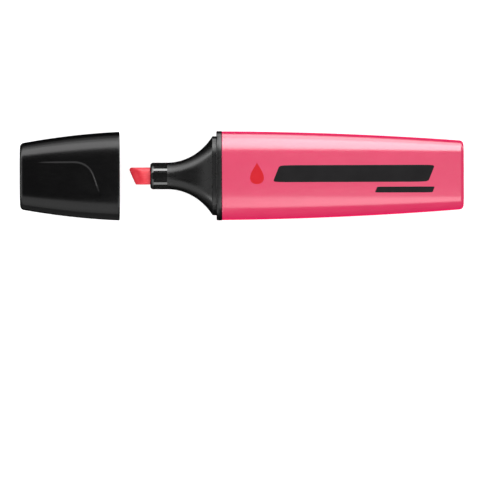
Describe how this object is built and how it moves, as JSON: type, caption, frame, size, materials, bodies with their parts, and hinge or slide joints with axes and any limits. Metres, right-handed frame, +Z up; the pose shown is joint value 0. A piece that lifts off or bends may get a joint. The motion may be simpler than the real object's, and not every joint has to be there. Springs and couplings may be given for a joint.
{
  "type": "highlighter",
  "caption": "Flat chisel-nib highlighter with a tapered barrel, a flared front section and a pull-off cap that holds a sealing inner cup.",
  "frame": {"origin": "on the surface the pen lies on, midway along its length with the cap pulled off in line", "axes": "+X along the pen from the cap's closed end to the barrel's closed end, +Y across the broad faces towards the nib's long point, +Z up through the thickness"},
  "size_m": [0.1344, 0.0272, 0.017],
  "materials": {
    "barrel_plastic": "smooth glossy, pink",
    "section_plastic": "fine satin, black",
    "collar_plastic": "polished, black",
    "nib_fibre": "pressed fibre wet with pink ink",
    "reservoir_fibre": "bundled fibre soaked with ink",
    "film": "thin smooth wrap",
    "cap_plastic": "satin gloss, black",
    "seal_plastic": "smooth, black"
  },
  "bodies": {
    "pen": {"barrel": "barrel_plastic", "front_section": "section_plastic", "nib_collar": "collar_plastic", "nib": "nib_fibre", "reservoir_core": "reservoir_fibre", "reservoir_film": "film"},
    "cap": {"cap_shell": "cap_plastic", "inner_cap": "seal_plastic"}
  },
  "joints": [
    {"name": "cap_slide", "type": "slide", "parent": "pen", "child": "cap", "axis": [-1, 0, 0], "range_m": [-0.0294, 0.03]}
  ]
}
